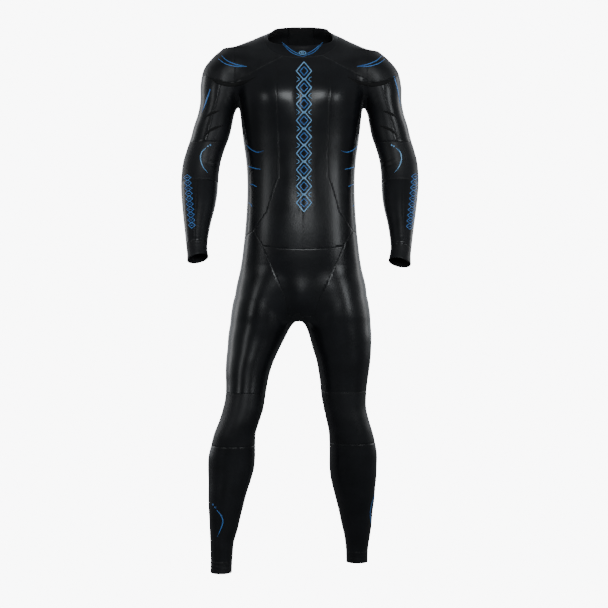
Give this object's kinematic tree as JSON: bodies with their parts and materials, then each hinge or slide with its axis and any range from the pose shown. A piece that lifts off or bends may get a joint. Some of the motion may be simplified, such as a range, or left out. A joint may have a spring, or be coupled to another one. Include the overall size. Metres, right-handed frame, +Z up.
{
  "type": "full wetsuit",
  "caption": "Full-length swimming wetsuit in body shape: panelled foam rubber shell with long sleeves and legs, open neck, wrist and ankle cuffs, and a back zip with pull tab.",
  "frame": {"origin": "at the crotch, on the middle of the suit, at the level where the two legs part", "axes": "+X to the wearer's left, -Y to the front (chest), +Z up towards the neck"},
  "size_m": [0.6265, 0.2712, 1.4364],
  "materials": {
    "smooth_rubber": "smooth skin, low gloss",
    "matt_rubber": "fine embossed, satin",
    "knit_rubber": "stretch knit, matt",
    "webbing": "woven tape, matt",
    "nylon": "moulded, satin",
    "steel": "die cast, satin"
  },
  "bodies": {
    "suit": {"collar_front": "smooth_rubber", "collar_back_left": "smooth_rubber", "collar_back_right": "smooth_rubber", "front_centre_panel": "smooth_rubber", "chest_side_panel_left": "smooth_rubber", "chest_side_panel_right": "smooth_rubber", "flank_panel_left": "smooth_rubber", "flank_panel_right": "smooth_rubber", "upper_back_panel_left": "smooth_rubber", "upper_back_panel_right": "smooth_rubber", "lumbar_panel": "smooth_rubber", "front_pelvis_panel": "smooth_rubber", "seat_panel_left": "smooth_rubber", "seat_panel_right": "smooth_rubber", "thigh_front_panel_left": "smooth_rubber", "thigh_front_panel_right": "smooth_rubber", "thigh_back_panel_left": "smooth_rubber", "thigh_back_panel_right": "smooth_rubber", "upper_sleeve_outer_left": "smooth_rubber", "upper_sleeve_outer_right": "smooth_rubber", "shoulder_panel_left": "matt_rubber", "shoulder_panel_right": "matt_rubber", "shoulder_cap_left": "matt_rubber", "shoulder_cap_right": "matt_rubber", "underarm_gusset_left": "knit_rubber", "underarm_gusset_right": "knit_rubber", "crotch_gusset": "knit_rubber", "knee_panel_left": "knit_rubber", "knee_panel_right": "knit_rubber", "elbow_panel_left": "knit_rubber", "elbow_panel_right": "knit_rubber", "upper_sleeve_inner_left": "knit_rubber", "upper_sleeve_inner_right": "knit_rubber", "zip_underflap": "knit_rubber", "zip_tape_left": "webbing", "zip_tape_right": "webbing", "zip_teeth_left": "nylon", "zip_teeth_right": "nylon", "zip_top_stop_left": "steel", "zip_top_stop_right": "steel", "zip_bottom_stop": "steel"},
    "forearm_left": {"forearm_outer_panel_left": "smooth_rubber", "forearm_inner_panel_left": "smooth_rubber", "wrist_cuff_left": "matt_rubber"},
    "forearm_right": {"forearm_outer_panel_right": "smooth_rubber", "forearm_inner_panel_right": "smooth_rubber", "wrist_cuff_right": "matt_rubber"},
    "lower_leg_left": {"shin_panel_left": "smooth_rubber", "calf_panel_left": "smooth_rubber", "ankle_cuff_left": "matt_rubber"},
    "lower_leg_right": {"shin_panel_right": "smooth_rubber", "calf_panel_right": "smooth_rubber", "ankle_cuff_right": "matt_rubber"},
    "slider": {"zip_slider": "steel"},
    "pull": {"zip_pull_tab": "nylon"},
    "collar_flap": {"collar_tab": "webbing"}
  },
  "joints": [
    {"name": "elbow_left", "type": "hinge", "parent": "suit", "child": "forearm_left", "pos_m": [0.258, 0.004, 0.417], "axis": [-1, 0, 0], "range_deg": [-25, 75], "stiffness_Nm_per_rad": 0.5, "deforming": ["elbow_panel_left"]},
    {"name": "elbow_right", "type": "hinge", "parent": "suit", "child": "forearm_right", "pos_m": [-0.262, 0.004, 0.417], "axis": [-1, 0, 0], "range_deg": [-25, 75], "stiffness_Nm_per_rad": 0.5, "deforming": ["elbow_panel_right"]},
    {"name": "knee_left", "type": "hinge", "parent": "suit", "child": "lower_leg_left", "pos_m": [0.124, 0.01, -0.257], "axis": [1, 0, 0], "range_deg": [-5, 75], "stiffness_Nm_per_rad": 2, "deforming": ["knee_panel_left"]},
    {"name": "knee_right", "type": "hinge", "parent": "suit", "child": "lower_leg_right", "pos_m": [-0.163, -0.044, -0.257], "axis": [1, 0, 0], "range_deg": [-5, 75], "stiffness_Nm_per_rad": 2, "deforming": ["knee_panel_right"]},
    {"name": "zip_travel", "type": "hinge", "parent": "suit", "child": "slider", "pos_m": [0, -0.619, 0.517], "axis": [-1, 0, 0], "range_deg": [0, 32.4]},
    {"name": "pull_swing", "type": "hinge", "parent": "slider", "child": "pull", "pos_m": [0, 0.0869, 0.73687], "axis": [1, 0, 0], "range_deg": [0, 148]},
    {"name": "collar_flap_lift", "type": "hinge", "parent": "suit", "child": "collar_flap", "pos_m": [0.03609, 0.07792, 0.76292], "axis": [-0.0078, 0.4359, -0.9], "range_deg": [0, 150]}
  ]
}
